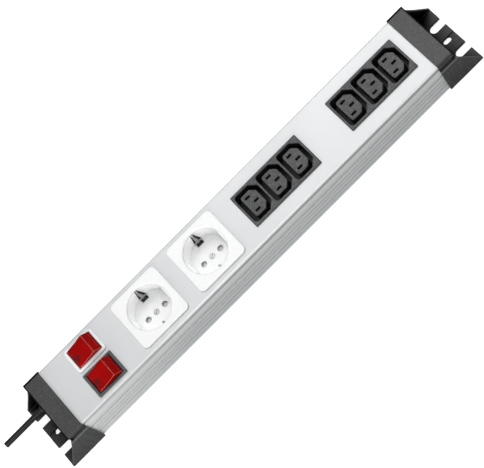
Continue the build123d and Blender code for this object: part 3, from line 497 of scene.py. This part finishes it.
def socket_details(mat, base, worn):
    """Socket inserts: painted light in the recess, painted shade in the pockets behind the earth
    clips, on the pin hole floors and on steep faces near the top.
    """
    x, y, z = mat.split(mat.place)
    from_socket = mat.beyond(x, SOCKET_MID_X, SOCKET_HALF_PITCH)
    radius = mat.math("SQRT", mat.sum_squares(from_socket, y))
    recess = mat.times(
        mat.fall(radius, RECESS_RADIUS - 0.05, RECESS_RADIUS, unit=MM),
        mat.band(z, 30.5, 47.4, soft=0.1, unit=MM),
    )
    # painted light: the recess is paler
    base = mat.mix(recess, base, (0.90, 0.905, 0.90))
    # painted light: a faint glow on the recess walls that face +X and -Y
    facing_x, facing_y, facing_z = mat.split(mat.true_normal())
    turned = mat.math("SUBTRACT", mat.times(facing_x, 0.745), mat.times(facing_y, 0.667))
    painted_wall_glow = mat.times(
        mat.rise(turned, -0.2, 0.9, top=0.20),
        recess,
        mat.fall(facing_z, 0.3, 0.7),
    )
    mat.surface({"Emission Color": (0.97, 0.985, 1.0, 1.0), "Emission Strength": painted_wall_glow})
    # painted shade: near black in the pockets behind the earth clips
    painted_pocket_shade = mat.times(
        mat.band(radius, RECESS_RADIUS, 23.2, soft=0.1, unit=MM),
        mat.band(z, 30.1, 46.9, soft=0.1, unit=MM),
    )
    base = mat.mix(painted_pocket_shade, base, (0.02, 0.02, 0.02))
    # painted shade on the pin hole floors
    painted_hole_shade = mat.times(
        mat.fall(z, 30.1, 30.4, top=0.75, unit=MM),
        mat.fall(radius, 22.8, 23.0, unit=MM),
    )
    base = mat.mix(painted_hole_shade, base, (0.20, 0.20, 0.20))
    # painted shade: steep faces near the top are darker, most of all those that face -Y
    facing = mat.true_normal()
    painted_flank = mat.times(
        mat.fall(mat.split(facing)["Z"], 0.15, 0.6),
        mat.rise(mat.split(mat.place)["Z"], 46.4, 46.7, unit=MM),
        mat.ramp(mat.split(facing)["Y"], -0.5, 0.1, first=1.0, last=0.35),
        0.45,
    )
    return mat.mix(painted_flank, base, BLACK)


def outlet_details(mat, base, worn):
    """Outlet blocks: painted shade on the steep walls and floor in the recess round each nose."""
    steep = mat.fall(mat.split(mat.true_normal())["Z"], 0.35, 0.6)
    z = mat.split(mat.place)["Z"]
    # painted shade on steep walls and the recess floor
    painted_wall_shade = mat.times(steep, mat.fall(z, 45.9, 46.3, unit=MM), 0.72)
    painted_floor_shade = mat.fall(z, 38.0, 40.0, top=0.85, unit=MM)
    return mat.mix(mat.math("MAXIMUM", painted_wall_shade, painted_floor_shade), base, BLACK)


def frame_details(mat, base, worn):
    """Switch frame: a dark line of shadow all round the key's opening."""
    x, y, z = mat.split(mat.place)
    outside = mat.math(
        "MAXIMUM",
        mat.beyond(x, FRAME_X, FRAME_HALF_X),
        mat.beyond(y, -KEY_Y, FRAME_HALF_Y),
    )
    return mat.mix(mat.fall(outside, 0.65, 1.15, top=0.88, unit=MM), base, BLACK)


# ---------------------------------------------------------------- material of each slot
MATERIALS = {
    "anodised_aluminium": anodised(),
    "plain_aluminium": metal(
        "mill_aluminium", (0.74, 0.75, 0.76), roughness=0.38, scale=1200.0, depth=0.012,
        tarnish=0.15, stretch=(0.02, 1.0, 1.0)),
    "zinc_steel": metal(
        "zinc_plated_steel", (0.60, 0.61, 0.62), roughness=0.42, scale=1300.0,
        tarnish=0.20, stretch=(1.0, 1.0, 0.2), shade=(3.0, 0.6)),
    "black_cap_plastic": plastic(
        "cap_plastic", (0.032, 0.032, 0.033), roughness=0.46, grain=1500.0, depth=0.06,
        vary=0.12, edge=0.55, wear=0.12, worn=(0.16, 0.16, 0.165), speckle=0.20,
        details=cap_details),
    "black_sheath": cable_jacket(),
    "black_rubber": plastic(
        "soft_rubber", (0.014, 0.014, 0.014), roughness=0.62, grain=3000.0, vary=0.12, wear=0.2),
    "grey_plastic": plastic("grey_polyamide", (0.30, 0.30, 0.31), roughness=0.45),
    "brown_insulation": plastic(
        "brown_insulation", (0.13, 0.045, 0.02), roughness=0.36, depth=0.015),
    "blue_insulation": plastic(
        "blue_insulation", (0.02, 0.07, 0.36), roughness=0.36, depth=0.015),
    "green_yellow_insulation": earth_insulation(),
    "copper": metal(
        "strand_copper", (0.80, 0.42, 0.26), roughness=0.25, scale=2600.0, depth=0.03,
        stretch=(0.05, 1.0, 1.0)),
    "white_plastic": plastic(
        "white_moulding", (0.875, 0.88, 0.875), roughness=0.28, depth=0.005, vary=0.012,
        edge=0.35, wear=0.15, worn=(0.97, 0.97, 0.96), coat=0.15, scatter=0.6,
        details=socket_details),
    "black_switch_plastic": plastic(
        "switch_frame_plastic", (0.070, 0.074, 0.070), roughness=0.34, depth=0.02,
        edge=0.4, wear=0.35, worn=(0.22, 0.22, 0.22), details=frame_details),
    "red_translucent": ruby(),
    "lamp_glass": lamp_glass(),
    "brass": metal(
        "stamped_brass", (0.80, 0.62, 0.32), roughness=0.30, scale=1500.0,
        tarnish=0.25, stretch=(1.0, 1.0, 0.15)),
    "spring_steel": metal("spring_wire", (0.56, 0.57, 0.59), roughness=0.28, scale=1800.0),
    "nickel_steel": metal(
        "nickel_strip", (0.60, 0.60, 0.58), roughness=0.30, scale=1500.0,
        tarnish=0.22, stretch=(1.0, 0.15, 0.15), shade=(5.0, 0.95)),
    "shutter_plastic": plastic(
        "shutter_moulding", (0.93, 0.93, 0.92), roughness=0.38, vary=0.02, scatter=0.3),
    "base_plastic": plastic(
        "insulator_moulding", (0.085, 0.085, 0.082), roughness=0.5, grain=2200.0),
    "black_outlet_plastic": plastic(
        "outlet_plastic", (0.045, 0.046, 0.048), roughness=0.50, grain=1100.0, depth=0.06,
        vary=0.10, wear=0.30, worn=(0.24, 0.24, 0.245), speckle=0.32, details=outlet_details),
}

slot_of = {part["node"]: part["material_slot"] for part in frame["record"]["subparts"]}
for node_name, piece in frame["nodes"].items():
    piece.data.materials.clear()
    piece.data.materials.append(MATERIALS[slot_of[node_name]])

# ---------------------------------------------------------------- floor, light, camera
FLOOR_HALF = 30.0       # m
FLOOR_DROP = 0.0004     # m, keeps the floor just under the strip
FLOOR_GLOW = 0.76
BACKDROP = 0.97         # world strength that the camera sees
AMBIENT = 0.30          # world strength that lights the strip

# name, place, target, width, height (m), power (W)
SOFTBOXES = (
    ("softbox_top", (0.45, 0.88, 1.60), (0.0, 0.0, 0.0), 1.9, 0.95, 17.5),
    ("softbox_fill", (0.15, -0.30, 1.95), (0.0, 0.0, 0.0), 1.5, 0.8, 9.5),
    ("softbox_front", (-1.05, -1.05, 0.52), (-0.12, 0.0, 0.0), 1.2, 0.6, 13.5),
)

# camera axes in the world, and its place in metres
CAMERA_RIGHT = (0.7057338675, -0.6316345446, -0.3209010911)
CAMERA_UP = (0.7072808928, 0.6544356950, 0.2673343594)
CAMERA_BACK = (0.0411515122, -0.4156341216, 0.9086004788)
CAMERA_PLACE = (0.0558555, -0.5994533, 1.3304384)

scene = bpy.context.scene


def add_floor():
    """A wide sheet of pale paper with a glow that only the camera sees."""
    mesh = bpy.data.meshes.new("studio_floor")
    signs = ((-1, -1), (1, -1), (1, 1), (-1, 1))
    painted_corner_shade = [(x * FLOOR_HALF, y * FLOOR_HALF, 0) for x, y in signs]
    mesh.from_pydata(painted_corner_shade, [], [(0, 1, 2, 3)])
    floor = bpy.data.objects.new("studio_floor", mesh)
    floor.location.z = -FLOOR_DROP
    scene.collection.objects.link(floor)
    paper = Material("studio_paper")
    mesh.materials.append(paper.surface({
        "Base Color": (0.55, 0.56, 0.55, 1.0),
        "Roughness": 0.9,
        "Specular IOR Level": 0.1,
        "Emission Strength": paper.times(paper.camera_ray(), FLOOR_GLOW),
        "Emission Color": (1.0, 1.0, 1.0, 1.0),
    }))


def add_world():
    """Soft light all round, and a pale backdrop for the camera."""
    world = bpy.data.worlds.new("studio_world")
    scene.world = world
    world.use_nodes = True
    graph = Graph(world.node_tree)
    strength = graph.math("MULTIPLY_ADD", graph.camera_ray(), BACKDROP - AMBIENT, AMBIENT)
    background = world.node_tree.nodes["Background"]
    graph.plug(background, {"Color": (1.0, 1.0, 1.0, 1.0), "Strength": strength})


def add_softbox(name, place, target, width, height, power):
    """A rectangular area light aimed at target and hidden from the camera."""
    light = bpy.data.lights.new(name, "AREA")
    light.shape = "RECTANGLE"
    light.size = width
    light.size_y = height
    light.energy = power
    softbox = bpy.data.objects.new(name, light)
    softbox.location = place
    softbox.rotation_mode = "QUATERNION"
    softbox.rotation_quaternion = (Vector(target) - Vector(place)).to_track_quat("-Z", "Y")
    softbox.visible_camera = False
    scene.collection.objects.link(softbox)


def add_camera():
    lens = bpy.data.cameras.new("studio_camera")
    camera = bpy.data.objects.new("studio_camera", lens)
    scene.collection.objects.link(camera)
    camera.matrix_world = Matrix((
        (*CAMERA_RIGHT, 0),
        (*CAMERA_UP, 0),
        (*CAMERA_BACK, 0),
        (*CAMERA_PLACE, 1),
    )).transposed()
    lens.sensor_width = 36.0
    lens.lens = 128.84
    lens.clip_start = 0.05
    lens.clip_end = 60.0
    scene.camera = camera


add_floor()
add_world()
for softbox_row in SOFTBOXES:
    add_softbox(*softbox_row)
add_camera()

scene.view_settings.view_transform = "Standard"
scene.view_settings.look = "None"
scene.view_settings.exposure = 0.0
scene.view_settings.gamma = 1.0
